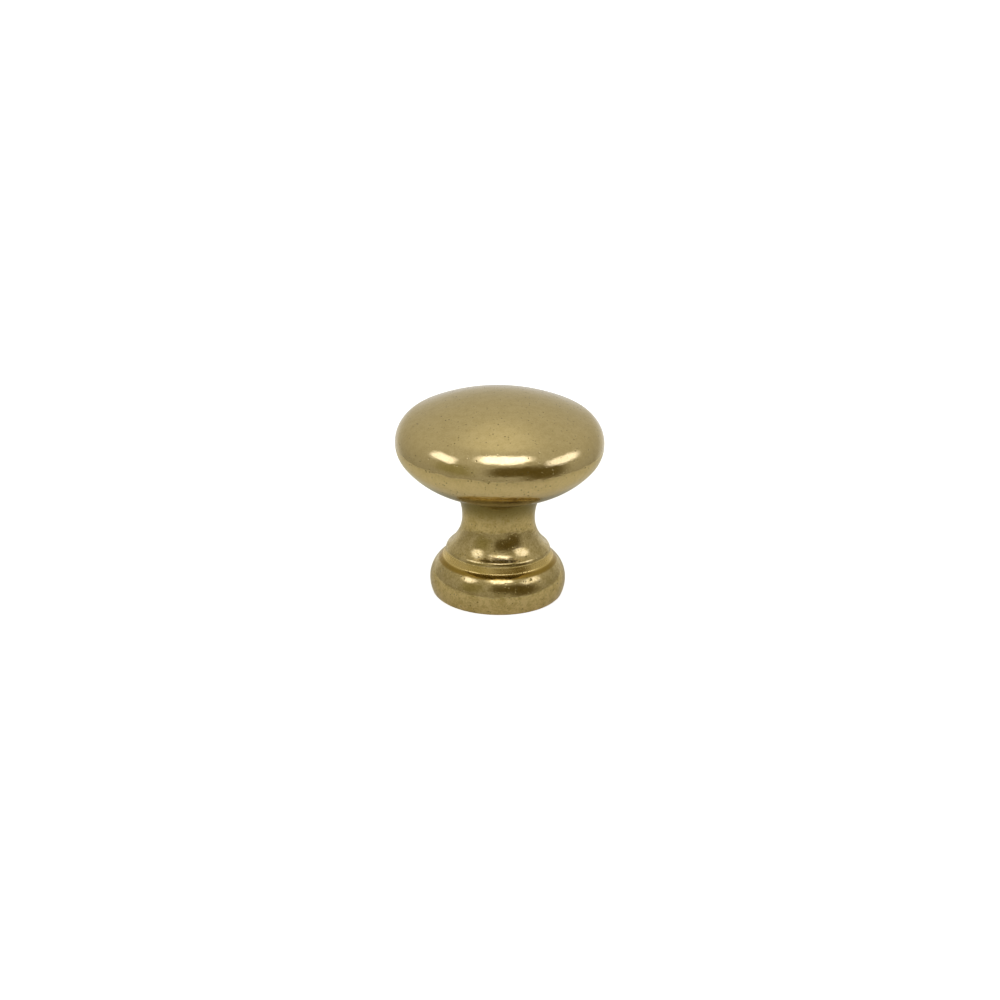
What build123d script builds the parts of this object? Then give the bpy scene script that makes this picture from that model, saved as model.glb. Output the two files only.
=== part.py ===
"""Mushroom cabinet knob, turned from solid brass in one piece.

Frame: millimetres, +Z points away from the door, and the origin is the middle of the seat,
the flat face of the foot that lies on the door. The knob is a body of revolution about Z,
with one blind tapped hole up its middle for the screw that comes through the door.
"""

import os
from math import radians, sqrt, tan

from build123d import *

# Head: a shallow crown, a full round rim and a bowl-shaped underside
HEAD_DIAMETER = 32.0
CROWN_RADIUS = 30.0
RIM_ROUND = 4.6
UNDERSIDE_RADIUS = 13.6
UNDERSIDE_DROP = 3.25  # from the bottom of the rim down to the lowest point of the bowl

# Neck: a waist that flares up into the head and down into a bell
NECK_DIAMETER = 11.2
FLARE_HEIGHT = 4.6  # waist up to the head
FLARE_OUT = 1.3  # how far the neck spreads before it meets the head
HEAD_FILLET = 0.5  # in the corner between the flare and the head
COVE_HEIGHT = 5.35  # waist down to the lip of the bell
LIP_ROUND = 1.0  # outer edge of the bell

# Foot: a round base, with a narrow sloping band between it and the bell
FOOT_DIAMETER = 20.9
FOOT_HEIGHT = 6.05  # seat up to the band
FOOT_WIDEST_HEIGHT = 2.3
SEAT_INSET = 0.45  # widest part in to the edge of the seat
EDGE_BREAK = 0.2  # chamfer round the seat
SHOULDER_INSET = 2.1  # widest part in to the band
BAND_HEIGHT = 0.9  # foot up to the lip of the bell
BAND_TAPER = 0.3  # bottom of the band in to the lip of the bell

# Tapped hole: drilled to the core of the thread, with a chamfered mouth and a drill's point
THREAD_DIAMETER = 4.0
THREAD_PITCH = 0.7
HOLE_DEPTH = 12.0
MOUTH_RELIEF = 0.3  # chamfer past the crest of the thread, on the radius
DRILL_POINT_ANGLE = 118.0

# Radii and heights that follow from the sizes above
head_r = HEAD_DIAMETER / 2
neck_r = NECK_DIAMETER / 2
foot_r = FOOT_DIAMETER / 2
seat_r = foot_r - SEAT_INSET
band_r = foot_r - SHOULDER_INSET
bell_r = band_r - BAND_TAPER
bore_r = (THREAD_DIAMETER - THREAD_PITCH) / 2
mouth_r = THREAD_DIAMETER / 2 + MOUTH_RELIEF
lip_z = FOOT_HEIGHT + BAND_HEIGHT
waist_z = lip_z + COVE_HEIGHT

# Points where the lengths of the section meet, as (distance from the axis, height)
UP = (0, 1)
DOWN = (0, -1)
OUT = (1, 0)
seat_edge = Vector(seat_r, EDGE_BREAK)
foot_side = Vector(foot_r, FOOT_WIDEST_HEIGHT)
band_foot = Vector(band_r, FOOT_HEIGHT)
lip = Vector(bell_r, lip_z)
waist = Vector(neck_r, waist_z)
neck_top = Vector(neck_r + FLARE_OUT, waist_z + FLARE_HEIGHT)


def touching(centre, neighbour, radius):
    """Point where the circle of this radius about centre touches the circle about neighbour."""
    return centre + (neighbour - centre).normalized() * radius


def hole_and_seat():
    """Drill's point, bore and mouth of the tapped hole, then the seat out to its broken edge."""
    point_height = bore_r / tan(radians(DRILL_POINT_ANGLE / 2))
    return Polyline(
        (0, HOLE_DEPTH + point_height),
        (bore_r, HOLE_DEPTH),
        (bore_r, mouth_r - bore_r),
        (mouth_r, 0),
        (seat_r - EDGE_BREAK, 0),
        seat_edge,
    )


def foot():
    """Round side of the foot, below and above its widest part, and the sloping band on top of it."""
    skirt = TangentArc(foot_side, seat_edge, tangent=DOWN)
    shoulder = TangentArc(foot_side, band_foot, tangent=UP)
    band = Line(band_foot, lip)
    return [skirt, shoulder, band]


def neck():
    """Lip of the bell, the cove that is tangent to it and to the waist, and the flare up to the head."""
    lip_centre = lip - Vector(LIP_ROUND, 0)
    spread = neck_r - lip_centre.X
    cove_radius = (spread**2 + COVE_HEIGHT**2 - LIP_ROUND**2) / (2 * (bell_r - neck_r))
    cove_centre = waist + Vector(cove_radius, 0)
    meeting = touching(cove_centre, lip_centre, cove_radius)
    bell_edge = TangentArc(lip, meeting, tangent=UP)
    cove = TangentArc(waist, meeting, tangent=DOWN)
    flare = TangentArc(waist, neck_top, tangent=UP)
    return [bell_edge, cove, flare]


def head():
    """Bowl, rim and crown, each tangent to the next. The bowl passes through the top of the neck."""
    rim_r = head_r - RIM_ROUND
    reach = UNDERSIDE_RADIUS - RIM_ROUND
    bowl_r = rim_r - sqrt(2 * reach * UNDERSIDE_DROP - UNDERSIDE_DROP**2)
    bowl_z = neck_top.Y + sqrt(UNDERSIDE_RADIUS**2 - (neck_top.X - bowl_r) ** 2)
    rim_z = bowl_z - reach + UNDERSIDE_DROP
    crown_z = rim_z - sqrt((CROWN_RADIUS - RIM_ROUND) ** 2 - rim_r**2)
    rim_centre = Vector(rim_r, rim_z)
    rim_bottom = touching(Vector(bowl_r, bowl_z), rim_centre, UNDERSIDE_RADIUS)
    rim_top = touching(Vector(0, crown_z), rim_centre, CROWN_RADIUS)
    apex = Vector(0, crown_z + CROWN_RADIUS)
    rim = ThreePointArc(rim_bottom, (head_r, rim_z), rim_top)
    bowl = TangentArc(rim_bottom, neck_top, tangent=-(rim % 0))
    crown = TangentArc(apex, rim_top, tangent=OUT)
    return [bowl, rim, crown]


def knob():
    """Half section, closed along the axis, with its neck filleted to the head, revolved about the axis."""
    hole = hole_and_seat()
    upper = head()
    axis_line = Line(hole @ 0, upper[-1] @ 0)
    section = make_face(Curve() + [hole, *foot(), *neck(), *upper, axis_line])
    corner = section.vertices().sort_by_distance(neck_top)[0]
    section = fillet(corner, HEAD_FILLET)
    return revolve(Plane.XZ * section, Axis.Z)


body = knob()
os.makedirs("parts", exist_ok=True)
export_step(body, "parts/knob.step")
box = body.bounding_box()
print(f"knob: {box.size.X:.2f} across, stands {box.max.Z:.2f} off the door, {body.volume:.0f} mm3 of brass")
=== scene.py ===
# %% [markdown]
# An aged brass cabinet knob
#
# A mushroom knob is one piece of brass: cast near its shape, turned on a lathe, tapped for a screw,
# aged dark, lacquered and rubbed bright again. The CAD frame holds the solid. This lesson gives it
# its looks in five steps: the turned section, the thread in its hole, the aged brass, a small light
# tent and the camera.

import bpy
import numpy as np
from mathutils import Matrix, Vector


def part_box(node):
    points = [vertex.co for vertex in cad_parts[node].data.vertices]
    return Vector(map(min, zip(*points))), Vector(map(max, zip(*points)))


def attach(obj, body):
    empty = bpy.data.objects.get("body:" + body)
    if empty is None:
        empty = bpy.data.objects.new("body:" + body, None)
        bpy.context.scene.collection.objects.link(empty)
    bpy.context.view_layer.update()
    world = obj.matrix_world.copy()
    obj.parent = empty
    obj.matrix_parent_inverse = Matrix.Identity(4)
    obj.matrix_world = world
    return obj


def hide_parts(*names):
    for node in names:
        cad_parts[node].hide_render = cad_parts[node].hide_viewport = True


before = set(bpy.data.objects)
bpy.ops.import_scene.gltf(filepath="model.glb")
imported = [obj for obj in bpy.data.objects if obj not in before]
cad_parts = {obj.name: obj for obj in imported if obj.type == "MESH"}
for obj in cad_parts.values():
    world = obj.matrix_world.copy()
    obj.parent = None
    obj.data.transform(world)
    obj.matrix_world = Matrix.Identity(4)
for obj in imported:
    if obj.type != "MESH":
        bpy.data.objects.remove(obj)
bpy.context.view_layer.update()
cad_low, cad_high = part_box("knob")
print("CAD knob, mm:", [round(1000 * float(side), 2) for side in cad_high - cad_low])

# %% [markdown]
# The turned section
#
# A turner works from one drawing: half of the section, from the crown round to the seat. These are
# the sizes of that drawing, in millimetres. They are the ones the solid is made from, so the fine
# surface lies on the solid. Only the two small rounds at the end of the list are new: a tool never
# leaves a corner quite sharp, and such a round is what catches the light.

# %% Sizes of the section, in millimetres
HEAD_DIAMETER = 32.0
CROWN_RADIUS = 30.0
RIM_ROUND = 4.6
UNDERSIDE_RADIUS = 13.6
UNDERSIDE_DROP = 3.25  # bottom of the rim down to the lowest point of the bowl under the head
NECK_DIAMETER = 11.2
FLARE_HEIGHT = 4.6  # waist up to the head
FLARE_OUT = 1.3
HEAD_FILLET = 0.5
COVE_HEIGHT = 5.35  # waist down to the lip of the bell
LIP_ROUND = 1.0
FOOT_DIAMETER = 20.9
FOOT_HEIGHT = 6.05
FOOT_WIDEST_HEIGHT = 2.3
SEAT_INSET = 0.45
EDGE_BREAK = 0.2
SHOULDER_INSET = 2.1  # widest part of the foot in to the band
BAND_HEIGHT = 0.9
BAND_TAPER = 0.3

THREAD_DIAMETER = 4.0
THREAD_PITCH = 0.7
HOLE_DEPTH = 12.0
MOUTH_RELIEF = 0.3
DRILL_POINT_ANGLE = 118.0

CORNER_ROUND = 0.45  # left by the tool's round nose where the band meets the foot
CREASE_ROUND = 0.15  # in the fine crease under the lip of the bell
MM = 0.001
print("head", HEAD_DIAMETER, "mm, neck", NECK_DIAMETER, "mm, foot", FOOT_DIAMETER, "mm")

# %% [markdown]
# Arcs that flow into each other
#
# Every length of the section is an arc that leaves one point in a known direction and ends at the
# next point. That is all a turner needs, and all the formula needs too.


# %% Functions for the section
def arc(start, end, tangent, count):
    """Points of the circular arc that leaves start along tangent and ends at end.

    With the chord split into a part along the tangent and a part across it, the arc turns by
    twice the angle of the chord, and its radius is the chord squared over twice the part across.
    """
    start = np.asarray(start, float)
    chord = np.asarray(end, float) - start
    along = np.asarray(tangent, float) / np.linalg.norm(tangent)
    across = np.array([-along[1], along[0]])
    radius = chord @ chord / (2 * chord @ across)
    turn = np.linspace(0, 2 * np.arctan2(chord @ across, chord @ along), count)[:, None]
    return start + radius * (np.sin(turn) * along + (1 - np.cos(turn)) * across)


def touching(centre, neighbour, radius):
    """Point where the circle of this radius about centre touches the circle about neighbour."""
    toward = np.subtract(neighbour, centre)
    return np.asarray(centre, float) + toward * radius / np.linalg.norm(toward)


def trimmed(points, setback):
    """The run of points without its last stretch of this length.

    A point just before the cut would leave a sliver, so it goes too.
    """
    steps = np.linalg.norm(np.diff(points, axis=0), axis=1)
    left = np.append(np.cumsum(steps[::-1])[::-1], 0.0)
    cut = [np.interp(setback, left[::-1], points[::-1, k]) for k in (0, 1)]
    return np.vstack([points[left > 1.05 * setback], cut])


def rounded(first, second, radius, count=6):
    """Two runs that meet at a corner, joined by a small curve in place of the corner.

    A round of this radius starts radius times tan(half the turn) before the corner. The curve is
    the parabola that leaves along the first run and arrives along the second.
    """
    before = first[-1] - first[-2]
    after = second[1] - second[0]
    turn = np.arccos(before @ after / np.linalg.norm(before) / np.linalg.norm(after))
    setback = radius * np.tan(turn / 2)
    head, tail = trimmed(first, setback), trimmed(second[::-1], setback)[::-1]
    t = np.linspace(0, 1, count + 2)[1:-1, None]
    bend = (1 - t) ** 2 * head[-1] + 2 * t * (1 - t) * first[-1] + t**2 * tail[0]
    return np.vstack([head, bend, tail])


# %% Points where the arcs meet, as (distance from the axis, height)
UP, DOWN, OUT = (0, 1), (0, -1), (1, 0)
head_r = HEAD_DIAMETER / 2
neck_r = NECK_DIAMETER / 2
foot_r = FOOT_DIAMETER / 2
seat_r = foot_r - SEAT_INSET
band_r = foot_r - SHOULDER_INSET
bell_r = band_r - BAND_TAPER
lip_z = FOOT_HEIGHT + BAND_HEIGHT
waist_z = lip_z + COVE_HEIGHT

seat_edge = np.array([seat_r, EDGE_BREAK])
foot_side = np.array([foot_r, FOOT_WIDEST_HEIGHT])
band_foot = np.array([band_r, FOOT_HEIGHT])
lip = np.array([bell_r, lip_z])
waist = np.array([neck_r, waist_z])
neck_top = np.array([neck_r + FLARE_OUT, waist_z + FLARE_HEIGHT])

lip_centre = lip - [LIP_ROUND, 0]
spread = neck_r - lip_centre[0]
cove_radius = (spread**2 + COVE_HEIGHT**2 - LIP_ROUND**2) / (2 * (bell_r - neck_r))
meeting = touching(waist + [cove_radius, 0], lip_centre, cove_radius)

rim_r = head_r - RIM_ROUND
reach = UNDERSIDE_RADIUS - RIM_ROUND
bowl_r = rim_r - np.sqrt(2 * reach * UNDERSIDE_DROP - UNDERSIDE_DROP**2)
bowl_z = neck_top[1] + np.sqrt(UNDERSIDE_RADIUS**2 - (neck_top[0] - bowl_r) ** 2)
rim_z = bowl_z - reach + UNDERSIDE_DROP
crown_z = rim_z - np.sqrt((CROWN_RADIUS - RIM_ROUND) ** 2 - rim_r**2)
apex = np.array([0.0, crown_z + CROWN_RADIUS])
rim_side = np.array([head_r, rim_z])
rim_top = touching((0, crown_z), (rim_r, rim_z), CROWN_RADIUS)
rim_bottom = touching((bowl_r, bowl_z), (rim_r, rim_z), UNDERSIDE_RADIUS)
print("head stands", round(float(apex[1]), 2), "mm off the door")

# %% The outside, from the crown down to the seat
bowl_start = rim_bottom - (bowl_r, bowl_z)
crown = arc(apex, rim_top, OUT, 44)
rim_upper = arc(rim_side, rim_top, UP, 24)[::-1]
rim_lower = arc(rim_side, rim_bottom, DOWN, 16)
bowl = arc(rim_bottom, neck_top, (bowl_start[1], -bowl_start[0]), 30)
flare = arc(waist, neck_top, UP, 16)[::-1]
cove = arc(waist, meeting, DOWN, 24)
bell_edge = arc(lip, meeting, UP, 14)[::-1]
band = np.linspace(lip, band_foot, 8)
shoulder = arc(foot_side, band_foot, UP, 26)[::-1]
skirt = arc(foot_side, seat_edge, DOWN, 16)

outside = np.vstack([crown, rim_upper[1:], rim_lower[1:], bowl[1:]])
outside = rounded(outside, flare, HEAD_FILLET)
outside = np.vstack([outside, cove[1:], bell_edge[1:]])
outside = rounded(outside, band, CREASE_ROUND)
outside = rounded(outside, shoulder, CORNER_ROUND)
outside = np.vstack([outside, skirt[1:]])
print("outside:", len(outside), "rings")

# %% [markdown]
# The tapped hole
#
# The hole is drilled to the core of the thread, and the tap then cuts a spiral groove of 60 degrees
# into its wall. On a grid of rings the groove needs no extra geometry: the radius of each point
# follows from how far it is along the spiral. The chamfer at the mouth is the larger of two radii,
# cone or thread.


# %% The thread
COLUMNS, WALL_RINGS = 256, 138
FLANK_ANGLE = 30.0  # degrees, half of the groove
HALF_ROOT = 1 / 16  # half of the flat at the root, in turns
RUN_OUT = 2  # turns over which the groove ends

around = np.arange(COLUMNS) * 2 * np.pi / COLUMNS
bore_r = (THREAD_DIAMETER - THREAD_PITCH) / 2
mouth_r = THREAD_DIAMETER / 2 + MOUTH_RELIEF


def thread_radius(height, angle):
    """Radius of the threaded wall at these heights and angles.

    The place within one turn is height over pitch less angle over a full turn. The groove is a
    triangle wave, cut off flat at the crest and at the root, and it runs out at the top.
    """
    place = (height / THREAD_PITCH - angle / (2 * np.pi)) % 1.0
    depth = THREAD_DIAMETER / 2 - bore_r
    flank = depth * np.tan(np.radians(FLANK_ANGLE)) / THREAD_PITCH
    groove = np.clip((flank + HALF_ROOT - abs(place - 0.5)) / flank, 0, 1)
    run_out = np.clip((HOLE_DEPTH - height) / (RUN_OUT * THREAD_PITCH), 0, 1)
    return bore_r + depth * groove * run_out


wall_height = np.linspace(0, HOLE_DEPTH, WALL_RINGS)[:, None]
mouth_cone = mouth_r - wall_height
wall = np.maximum(mouth_cone, thread_radius(wall_height, around[None]))
print("thread:", round(HOLE_DEPTH / THREAD_PITCH, 1), "turns, core", 2 * bore_r, "mm")

# %% The seat and the drill's point
GUARD = 0.06  # a ring this close to an edge keeps the smooth shading of the seat flat
seat_outer = seat_r - EDGE_BREAK
between = np.linspace(seat_outer - 5 * GUARD, mouth_r + 5 * GUARD, 5)
seat = np.r_[seat_outer, seat_outer - GUARD, between, mouth_r + GUARD]
seat = np.c_[seat, np.zeros(len(seat))]

point_height = bore_r / np.tan(np.radians(DRILL_POINT_ANGLE / 2))
hole_top = HOLE_DEPTH + point_height
up_the_point = np.array([0.05, 0.5, 0.9])
drill = np.c_[bore_r * (1 - up_the_point), HOLE_DEPTH + point_height * up_the_point]
print("seat:", len(seat), "rings, the drill's point ends at", round(hole_top, 2), "mm")

# %% [markdown]
# One closed surface
#
# All rings together are one grid, from the crown to the drill's point, with a single vertex at each
# end. Two triangle fans close the ends, and quads fill the rest.


# %% Build the knob
def rings(section):
    """Turn a section about the axis: each point (r, z) becomes a ring of points."""
    r, z = section[:, :1], section[:, 1:]
    return np.stack([r * np.cos(around), r * np.sin(around), z + 0 * around], -1)


def closed_surface(name, grid, first_pole, last_pole):
    """Mesh over a grid of closed rings with one vertex at each end, faces outwards."""
    rows, columns = grid.shape[:2]
    points = np.vstack([first_pole, grid.reshape(-1, 3), last_pole]) * MM
    here = 1 + np.arange(rows * columns).reshape(rows, columns)
    beside = np.roll(here, -1, axis=1)
    top = np.stack([np.zeros(columns, int), here[0], beside[0]], -1)
    sides = np.stack([here[:-1], here[1:], beside[1:], beside[:-1]], -1).reshape(-1, 4)
    bottom = np.stack([here[-1], np.full(columns, len(points) - 1), beside[-1]], -1)
    corners = np.concatenate([top.ravel(), sides.ravel(), bottom.ravel()])
    sizes = np.repeat([3, 4, 3], [columns, len(sides), columns])
    mesh = bpy.data.meshes.new(name)
    mesh.vertices.add(len(points))
    mesh.vertices.foreach_set("co", points.ravel())
    mesh.loops.add(len(corners))
    mesh.loops.foreach_set("vertex_index", corners)
    mesh.polygons.add(len(sizes))
    mesh.polygons.foreach_set("loop_start", np.cumsum(sizes) - sizes)
    mesh.update(calc_edges=True)
    mesh.shade_smooth()
    piece = bpy.data.objects.new(name, mesh)
    bpy.context.scene.collection.objects.link(piece)
    return piece


bore = np.stack([wall * np.cos(around), wall * np.sin(around), wall_height + 0 * around], -1)
grid = np.vstack([rings(outside[1:]), rings(seat), bore, rings(drill)])
knob = closed_surface("aged_brass_knob", grid, (0, 0, apex[1]), (0, 0, hole_top))
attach(knob, "root")
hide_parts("knob")
print("triangles:", sum(len(p.vertices) - 2 for p in knob.data.polygons))

# %% [markdown]
# Where light and shade are painted
#
# Three places get painted light and shade in their colour. Under the head, and in the hole, the
# brass is painted darker: painted shade, and the painted reflection of the head's dark underside.
# The narrow band is painted golden, a painted reflection of light bounced between band, foot and
# head. The corner below the band gets a brown line of painted shade and dark golden reflection.
# Each is kept on the mesh as a number between 0 and 1, so that the material can find it.


# %% Painted shade and reflection, kept as attributes of the mesh
def keep_nook(name, point, reach, bore_value):
    """Store how near each ring is to a point, from 1 close to it down to 0 beyond the reach.

    The value is exp of minus the eighth power of distance over reach, which has a flat top and a
    short end. The seat takes 0, and the hole takes one value of its own.
    """
    near = np.exp(-((np.linalg.norm(outside - point, axis=1) / reach) ** 8))
    per_ring = np.r_[near[1:], np.zeros(len(seat)), np.full(len(bore) + len(drill), bore_value)]
    per_point = np.r_[near[0], np.repeat(per_ring, COLUMNS), bore_value]
    knob.data.attributes.new(name, "FLOAT", "POINT").data.foreach_set("value", per_point)
    print(name, "covers", int((near > 0.5).sum()), "rings of the outside")


# Points are given from a corner of the section, out and up, and like the reaches in millimetres
# Painted shade: under the head and in the hole the brass is painted dark, as shade and as the
# reflection of the head's dark underside
keep_nook("under_head_shade", neck_top + [2.9, 0.3], reach=5.4, bore_value=0.6)
# Painted reflection: the band is painted golden for light bounced between band, foot and head
keep_nook("band", band_foot + [-0.05, 0.3], reach=0.68, bore_value=0.0)
# Painted shade: a brown line of shade and dark golden reflection in the corner below the band
keep_nook("corner_shade", band_foot + [0.48, -0.32], reach=0.42, bore_value=0.0)

# %% [markdown]
# Small helpers for shader nodes
#
# A material is a graph. These helpers add a node, fill its inputs with numbers or with other nodes'
# outputs, and hand back the output, so that a graph can be written like a sum.


# %% Node helpers
def add_node(tree, kind, inputs=None, **settings):
    """A new node with its settings, its inputs set to values or linked to sockets."""
    made = tree.nodes.new(kind)
    for name, value in settings.items():
        setattr(made, name, value)
    for name, value in (inputs or {}).items():
        if isinstance(value, bpy.types.NodeSocket):
            tree.links.new(value, made.inputs[name])
        else:
            made.inputs[name].default_value = value
    return made


def maths(tree, operation, *values):
    """The output of a Math node on these values or sockets."""
    return add_node(tree, "ShaderNodeMath", dict(enumerate(values)), operation=operation).outputs[0]


def ramp(tree, value, low, high, bottom=0.0, top=1.0):
    """Smooth step from bottom, where value is at low, to top, where it is at high."""
    inputs = {"Value": value, "From Min": low, "From Max": high, "To Min": bottom, "To Max": top}
    made = add_node(tree, "ShaderNodeMapRange", inputs, interpolation_type="SMOOTHSTEP")
    return made.outputs["Result"]


def stretched(tree, vector, factors):
    """The vector with each of its three parts times its own factor."""
    inputs = {0: vector, 1: factors}
    return add_node(tree, "ShaderNodeVectorMath", inputs, operation="MULTIPLY").outputs[0]


def blend(tree, share, first, second):
    """Mix of two colours, from the first at share 0 to the second at share 1.

    A Mix node keeps sockets for every kind of data. Inputs 6 and 7 and output 2 are for colours.
    """
    inputs = {0: share, 6: first, 7: second}
    return add_node(tree, "ShaderNodeMix", inputs, data_type="RGBA").outputs[2]


def noise(tree, place, scale, detail):
    """Smooth noise between 0 and 1: waves a millimetre, and how many layers of finer ones."""
    inputs = {"Vector": place, "Scale": scale, "Detail": detail}
    return add_node(tree, "ShaderNodeTexNoise", inputs).outputs["Fac"]


def new_group(name, inputs, output):
    """An empty shader node group with inputs of these kinds and one float output."""
    group = bpy.data.node_groups.new(name, "ShaderNodeTree")
    for label, kind in inputs.items():
        group.interface.new_socket(name=label, in_out="INPUT", socket_type=kind)
    group.interface.new_socket(name=output, in_out="OUTPUT", socket_type="NodeSocketFloat")
    return group, group.nodes.new("NodeGroupInput").outputs


# %% [markdown]
# Pits
#
# A casting has pores, and polishing opens them into small dark pits. A cell pattern scatters one
# point in every cell of a grid. A lottery by the cell's own random colour picks the cells that have
# a pit and says how large it is. The group is asked for two sizes of pits below.

# %% A group for pits
SMALLEST_PIT = 0.35  # share of the asked radius
PIT_FLOOR = 0.3  # share of a pit's radius that is fully dark

pit_inputs = {"Place": "NodeSocketVector"}
pit_inputs |= dict.fromkeys(("Per Millimetre", "Share", "Radius"), "NodeSocketFloat")
pits, ask = new_group("casting_pits", pit_inputs, "Mask")
pattern = {"Vector": ask["Place"], "Scale": ask["Per Millimetre"]}
cells = add_node(pits, "ShaderNodeTexVoronoi", pattern).outputs
lottery = add_node(pits, "ShaderNodeSeparateColor", {"Color": cells["Color"]}).outputs
chosen = maths(pits, "LESS_THAN", lottery["Red"], ask["Share"])
drawn_size = maths(pits, "ADD", lottery["Green"], SMALLEST_PIT)
size = maths(pits, "MULTIPLY", ask["Radius"], drawn_size)
inside = ramp(pits, cells["Distance"], size, maths(pits, "MULTIPLY", size, PIT_FLOOR))
add_node(pits, "NodeGroupOutput", {"Mask": maths(pits, "MULTIPLY", chosen, inside)})
print("group:", pits.name, "with", len(pits.nodes), "nodes")

# %% [markdown]
# Aged brass
#
# Below the head the brass is darker and duller than on the head, and all of it is mottled where the
# old skin wore off unevenly. The rubbing leaves the polish a little wavy, so the edges of the
# highlights waver. The seat was only faced on the lathe and keeps the fine rings of the tool. All
# of it is worked out from the place on the knob in millimetres, with no picture.

# %% Brass: its colours, and the places it asks about
BRIGHT_BRASS = (0.83, 0.655, 0.315, 1)
DULL_BRASS = (0.525, 0.39, 0.13, 1)
# Painted reflection: the golden colour of the band
PAINTED_BAND_GOLD = (1.0, 0.73, 0.25, 1)
# Painted shade: the brown line in the corner below the band
PAINTED_CORNER_SHADE = (0.42, 0.26, 0.035, 1)
# Dark skin in the pits, and painted shade under the head and in the hole
DARK_SKIN_AND_SHADE = (0.215, 0.165, 0.04, 1)

brass = bpy.data.materials.new("aged_brass")
brass.use_nodes = True
tree = brass.node_tree
coordinates = add_node(tree, "ShaderNodeTexCoord").outputs["Object"]
place = stretched(tree, coordinates, (1 / MM, 1 / MM, 1 / MM))
axes = add_node(tree, "ShaderNodeSeparateXYZ", {0: place}).outputs
under_head_shade, band_reflection, corner_shade = (
    add_node(tree, "ShaderNodeAttribute", attribute_name=name).outputs["Fac"]
    for name in ("under_head_shade", "band", "corner_shade")
)
print("the knob's attributes:", [attribute.name for attribute in knob.data.attributes])

# %% Brass: pits, dull parts, painted shade and painted reflection make the colour
LARGE_PITS = (0.42, 0.20, 0.12)  # cells a millimetre, share of cells with a pit, radius in cells
SMALL_PITS = (1.9, 0.55, 0.26)
SMALL_PIT_STRENGTH = 0.85  # beside a large pit
SKIN_IN_PITS, SHADE_UNDER_HEAD = 0.9, 0.95  # share of dark skin in a pit, and of painted shade under the head and in the hole
BAND_REFLECTION_SHARE, CORNER_SHADE_SHARE = 0.85, 0.9  # of the painted golden reflection on the band and of the painted brown shade in the corner, where each is strongest
CLOUDS, GRAIN = (0.9, 5), (3.2, 3)  # waves a millimetre, layers of finer ones
MOTTLED_OVER = (0.80, 1.24)  # from bright to dull, as the sum of clouds and grain
DARKENS_BETWEEN = (21.0, 16.0)  # heights in millimetres over which the brass turns darker: not at all at the first, fully at the second
MOTTLE_ON_HEAD = 0.25  # share of dull brass
MOTTLE_BELOW, DULL_BELOW = 0.32, 0.28  # what is added to it below the head, mottled and even


def pit_field(per_millimetre, share, radius):
    """Mask of one size of pits."""
    inputs = {"Place": place, "Per Millimetre": per_millimetre, "Share": share, "Radius": radius}
    return add_node(tree, "ShaderNodeGroup", inputs, node_tree=pits).outputs["Mask"]


small_pits = maths(tree, "MULTIPLY", pit_field(*SMALL_PITS), SMALL_PIT_STRENGTH)
pitted = maths(tree, "MAXIMUM", pit_field(*LARGE_PITS), small_pits)

cloudy, grainy = noise(tree, place, *CLOUDS), noise(tree, place, *GRAIN)
mottled = ramp(tree, maths(tree, "ADD", cloudy, grainy), *MOTTLED_OVER)
# The brass turns darker below the head
below_head = ramp(tree, axes["Z"], *DARKENS_BETWEEN)
mottle = maths(tree, "MULTIPLY_ADD", below_head, MOTTLE_BELOW, MOTTLE_ON_HEAD)
dull = maths(tree, "MULTIPLY", mottled, mottle)
dull = maths(tree, "MULTIPLY_ADD", below_head, DULL_BELOW, dull)
# Painted shade under the head and in the hole, joined with the dark skin of the pits
skin_and_shade = maths(tree, "MULTIPLY", under_head_shade, SHADE_UNDER_HEAD)
skin_and_shade = maths(tree, "MAXIMUM", skin_and_shade, maths(tree, "MULTIPLY", pitted, SKIN_IN_PITS))

colour = blend(tree, dull, BRIGHT_BRASS, DULL_BRASS)
# The band is painted golden, a painted reflection
colour = blend(tree, maths(tree, "MULTIPLY", band_reflection, BAND_REFLECTION_SHARE), colour, PAINTED_BAND_GOLD)
# The corner below the band gets its painted brown shade
colour = blend(tree, maths(tree, "MULTIPLY", corner_shade, CORNER_SHADE_SHARE), colour, PAINTED_CORNER_SHADE)
colour = blend(tree, skin_and_shade, colour, DARK_SKIN_AND_SHADE)
print("pits: cells of", [round(1 / field[0], 2) for field in (LARGE_PITS, SMALL_PITS)], "mm")

# %% Brass: the relief, in millimetres, and the polish
WAVER, STREAKS, PIT_DEPTH = 0.052, 0.008, 0.03
WAVER_NOISE, STREAK_NOISE = (0.30, 2), (1.3, 2)  # waves a millimetre, layers of finer ones
SQUEEZE = (1, 1, 2.5)  # the cloth ran round the knob, so its marks are longer that way
TOOL_FEED, TOOL_MARK = 0.22, 0.003  # spacing and depth of the rings on the seat
SEAT_ENDS = (0.06, 0.02)  # heights between which the rings come in
POLISHED, WORN = 0.12, 0.20  # roughness
BAND_BLUR = 0.10  # roughness added on the band

streaky = stretched(tree, place, SQUEEZE)
waver = maths(tree, "MULTIPLY", noise(tree, streaky, *WAVER_NOISE), WAVER)
streaks = maths(tree, "MULTIPLY", noise(tree, streaky, *STREAK_NOISE), STREAKS)
x_squared, y_squared = (maths(tree, "MULTIPLY", axes[k], axes[k]) for k in ("X", "Y"))
from_axis = maths(tree, "SQRT", maths(tree, "ADD", x_squared, y_squared))
facing = maths(tree, "SINE", maths(tree, "MULTIPLY", from_axis, 2 * np.pi / TOOL_FEED))
on_seat = ramp(tree, axes["Z"], *SEAT_ENDS, 0.0, TOOL_MARK)

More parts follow.
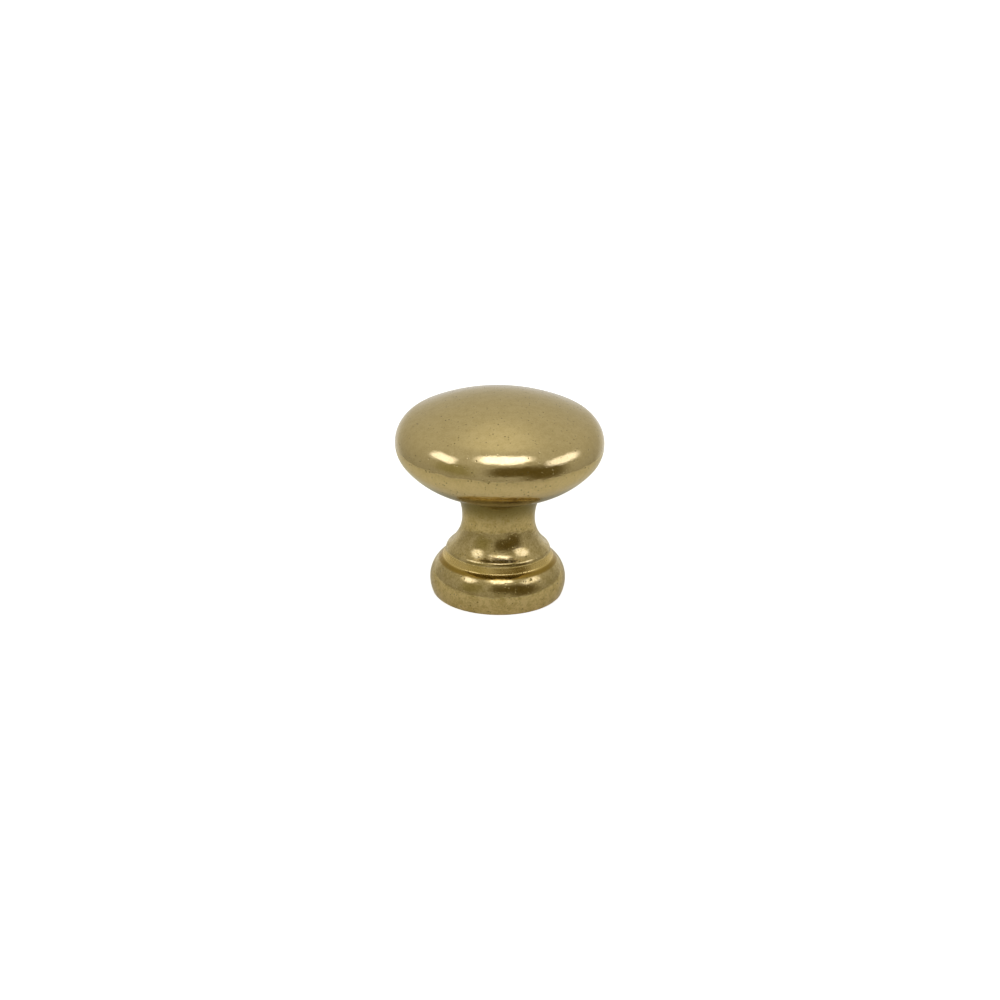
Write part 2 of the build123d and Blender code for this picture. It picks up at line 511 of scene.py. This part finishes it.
relief = maths(tree, "ADD", waver, streaks)
relief = maths(tree, "MULTIPLY_ADD", facing, on_seat, relief)
relief = maths(tree, "SUBTRACT", relief, maths(tree, "MULTIPLY", pitted, PIT_DEPTH))
bump = add_node(tree, "ShaderNodeBump", {"Height": relief, "Distance": MM})
rough = ramp(tree, maths(tree, "MAXIMUM", dull, skin_and_shade), 0.0, 1.0, POLISHED, WORN)
rough = maths(tree, "MULTIPLY_ADD", band_reflection, BAND_BLUR, rough)

shader = tree.nodes["Principled BSDF"]
shader.inputs["Metallic"].default_value = 1.0
tree.links.new(colour, shader.inputs["Base Color"])
tree.links.new(rough, shader.inputs["Roughness"])
tree.links.new(bump.outputs["Normal"], shader.inputs["Normal"])
knob.data.materials.append(brass)
print("brass:", len(tree.nodes), "nodes")

# %% [markdown]
# A small white light tent
#
# Polished metal shows what stands round it more than any colour of its own. Small shiny things are
# often lit inside a half ball of white cloth. Lamps outside make soft bright patches on the cloth,
# and the gap for the lens, with the dark room behind it, stays dark. Here the cloth glows by
# itself, and the camera doesn't see it. Each patch is a soft-edged field at its own azimuth (0 in
# front, + to the right) and elevation. How far a direction is from the middle of a patch is counted
# in half widths and half heights, and the two are joined as the cube root of the sum of their
# cubes, which gives a box with round corners.

# %% A group for one patch of light or shade
patch_inputs = ("Azimuth", "Elevation", "Centre Azimuth", "Centre Elevation",
                "Half Width", "Half Height", "Tilt", "Edge")
patch, ask = new_group("soft_patch", dict.fromkeys(patch_inputs, "NodeSocketFloat"), "Mask")
aside = maths(patch, "SUBTRACT", ask["Azimuth"], ask["Centre Azimuth"])
lift = maths(patch, "SUBTRACT", ask["Elevation"], ask["Centre Elevation"])
lift = maths(patch, "SUBTRACT", lift, maths(patch, "MULTIPLY", aside, ask["Tilt"]))
widths = maths(patch, "ABSOLUTE", maths(patch, "DIVIDE", aside, ask["Half Width"]))
heights = maths(patch, "ABSOLUTE", maths(patch, "DIVIDE", lift, ask["Half Height"]))
cubes = maths(patch, "ADD", maths(patch, "POWER", widths, 3.0), maths(patch, "POWER", heights, 3.0))
away = maths(patch, "POWER", cubes, 1 / 3)
outer, inner = maths(patch, "ADD", 1.0, ask["Edge"]), maths(patch, "SUBTRACT", 1.0, ask["Edge"])
add_node(patch, "NodeGroupOutput", {"Mask": ramp(patch, away, outer, inner)})
print("group:", patch.name, "with", len(patch.nodes), "nodes")

# %% The cloth of the tent
TENT_RADIUS = 0.064
BEHIND = (-0.35, -0.95)  # in radii to the front: the back's glow starts, and is full
LOW = (0.85, 0.1)  # in radii up, likewise
HORIZON = (0.315, 0.307, 0.277, 1)
ZENITH = (0.50, 0.49, 0.44, 1)
BACK = (0.74, 0.75, 0.78, 1)  # the white room shines through the low cloth at the back
GLOW = (0.80, 0.78, 0.69, 1)
DARK = (0.096, 0.072, 0.016, 1)
HALF_DARK = (0.20, 0.182, 0.03, 1)
LAMP = (2.2, 2.25, 2.8, 1)  # cooler than the cloth, so that its image on the brass is white
SIDE_LAMP = (1.7, 1.75, 2.2, 1)
# Each patch: azimuth, elevation, half width and half height in degrees, tilt, edge, share, colour
PATCHES = {
    "overhead": (0, 90, 1000, 12, 0.0, 0.9, 0.55, GLOW),
    "left_shade": (-44, 26, 18, 14.5, 0.0, 0.56, 0.6, HALF_DARK),
    "right_shade": (44, 21, 21.5, 20, 0.0, 0.56, 0.94, DARK),
    "lens_gap": (13, 30, 24, 13, 0.0, 0.45, 0.94, DARK),
    "main_lamp": (6, 58.4, 28, 7.9, 0.0, 0.34, 1.0, LAMP),
    "left_lamp": (-58.5, 45, 14.5, 7.5, 0.0, 0.34, 0.9, SIDE_LAMP),
    "right_lamp": (66.5, 39.5, 19, 7.5, -0.05, 0.34, 0.8, SIDE_LAMP),
}

cloth = bpy.data.materials.new("tent_cloth")
cloth.use_nodes = True
tree = cloth.node_tree
tree.nodes.clear()
where = add_node(tree, "ShaderNodeTexCoord").outputs["Object"]
axes = add_node(tree, "ShaderNodeSeparateXYZ", {0: where}).outputs
front = maths(tree, "MULTIPLY", axes["Y"], -1.0)
azimuth = maths(tree, "DEGREES", maths(tree, "ARCTAN2", axes["X"], front))
rise = maths(tree, "DIVIDE", axes["Z"], TENT_RADIUS)
elevation = maths(tree, "DEGREES", maths(tree, "ARCSINE", rise))
glow = blend(tree, rise, HORIZON, ZENITH)
behind = ramp(tree, maths(tree, "DIVIDE", front, TENT_RADIUS), *BEHIND)
low_behind = maths(tree, "MULTIPLY", behind, ramp(tree, rise, *LOW))
glow = blend(tree, low_behind, glow, BACK)
for name, (*shape, share, tint) in PATCHES.items():
    inputs = dict(zip(patch_inputs, (azimuth, elevation, *shape)))
    mask = add_node(tree, "ShaderNodeGroup", inputs, node_tree=patch, label=name).outputs["Mask"]
    glow = blend(tree, maths(tree, "MULTIPLY", mask, share), glow, tint)
light = add_node(tree, "ShaderNodeEmission", {"Color": glow})
add_node(tree, "ShaderNodeOutputMaterial", {"Surface": light.outputs[0]})
print("tent:", len(PATCHES), "patches")


# %% The tent
def open_sheet(name, grid, material):
    """A piece for the tent or the floor: a mesh of quads over a grid of points, open at its
    borders.
    """
    rows, columns = grid.shape[:2]
    here = np.arange(rows * columns).reshape(rows, columns)
    quads = np.stack([here[:-1, :-1], here[1:, :-1], here[1:, 1:], here[:-1, 1:]], -1)
    mesh = bpy.data.meshes.new(name)
    mesh.from_pydata(grid.reshape(-1, 3).tolist(), [], quads.reshape(-1, 4).tolist())
    mesh.shade_smooth()
    mesh.materials.append(material)
    piece = bpy.data.objects.new(name, mesh)
    bpy.context.scene.collection.objects.link(piece)
    return piece


SHEET_COLUMNS, TENT_ROWS = 97, 25
TENT_STARTS = 0.002  # radians above the floor

full_turn = np.linspace(0, 2 * np.pi, SHEET_COLUMNS)
turn, climb = np.meshgrid(full_turn, np.linspace(TENT_STARTS, np.pi / 2, TENT_ROWS))
half_ball = [np.cos(climb) * np.cos(turn), np.cos(climb) * np.sin(turn), np.sin(climb)]
tent = open_sheet("light_tent", TENT_RADIUS * np.stack(half_ball, -1), cloth)
tent.visible_camera = False
print("tent radius", TENT_RADIUS / MM, "mm")

# %% [markdown]
# White paper
#
# The knob stands on white paper that the photographer has over-exposed until it is blank. The
# camera therefore sees the paper with much light added, while the brass sees it as it is, lit by
# the tent. The paper has a hole under the seat and can't be seen from below, so the seat and the
# thread can be looked at.

# %% The floor and the room
FLOOR_RADIUS = 2.0
HOLE_IN_PAPER = (seat_outer - 0.4) * MM  # the paper reaches 0.4 mm under the seat
PAPER_DROP = 0.00001  # keeps the paper and the seat from lying in one plane
PAPER = (0.82, 0.80, 0.67, 1)
OWN_LIGHT = 0.118
OVER_EXPOSED = 0.85


def with_light(shader, strength):
    """The shader with white light of this strength added to it."""
    added = add_node(tree, "ShaderNodeEmission", {"Strength": strength}).outputs[0]
    return add_node(tree, "ShaderNodeAddShader", {0: shader, 1: added}).outputs[0]


paper = bpy.data.materials.new("white_paper")
paper.use_nodes = True
tree = paper.node_tree
tree.nodes.clear()
matt = add_node(tree, "ShaderNodeBsdfDiffuse", {"Color": PAPER}).outputs[0]
lit, washed_out = with_light(matt, OWN_LIGHT), with_light(matt, OVER_EXPOSED)
seen = add_node(tree, "ShaderNodeLightPath").outputs["Is Camera Ray"]
surface = add_node(tree, "ShaderNodeMixShader", {0: seen, 1: lit, 2: washed_out}).outputs[0]
from_below = add_node(tree, "ShaderNodeNewGeometry").outputs["Backfacing"]
clear = add_node(tree, "ShaderNodeBsdfTransparent").outputs[0]
surface = add_node(tree, "ShaderNodeMixShader", {0: from_below, 1: surface, 2: clear}).outputs[0]
add_node(tree, "ShaderNodeOutputMaterial", {"Surface": surface})

turn, out = np.meshgrid(full_turn, [HOLE_IN_PAPER, FLOOR_RADIUS])
sheet = [out * np.cos(turn), out * np.sin(turn), 0 * out - PAPER_DROP]
open_sheet("floor", np.stack(sheet, -1), paper)

world = bpy.data.worlds.new("white_room")
world.use_nodes = True
world.node_tree.nodes["Background"].inputs["Color"].default_value = (1, 1, 1, 1)
bpy.context.scene.world = world
print("floor:", 2 * FLOOR_RADIUS, "m across")

# %% [markdown]
# The camera
#
# The place of the camera follows from the outline: how flat the rims look gives its height, and how
# much the near side is larger than the far side gives its distance. The lens then sets how large
# the knob is in the picture. The photo was also taken with the camera turned by a little less than
# a degree.

# %% Camera
DISTANCE = 0.5066  # metres to the point it aims at
ELEVATION = np.radians(22.3)
AIM = Vector((0, 0, 0.01494))
ROLL = np.radians(0.88)
LENS, SENSOR = 118.8, 36.0
SHIFT = 0.00121  # the knob stands about a pixel to the left of the middle

lens = bpy.data.cameras.new("camera")
lens.lens = LENS
lens.sensor_width = SENSOR
lens.shift_x = SHIFT
camera = bpy.data.objects.new("camera", lens)
to_camera = Vector((0, -np.cos(ELEVATION), np.sin(ELEVATION)))
look_down = Matrix.Rotation(np.pi / 2 - ELEVATION, 4, "X")
stand = Matrix.Translation(AIM + to_camera * DISTANCE)
camera.matrix_world = stand @ look_down @ Matrix.Rotation(ROLL, 4, "Z")
bpy.context.scene.collection.objects.link(camera)
bpy.context.scene.camera = camera
bpy.context.scene.view_settings.view_transform = "Standard"
print("camera:", [round(1000 * v) for v in camera.matrix_world.translation], "mm")
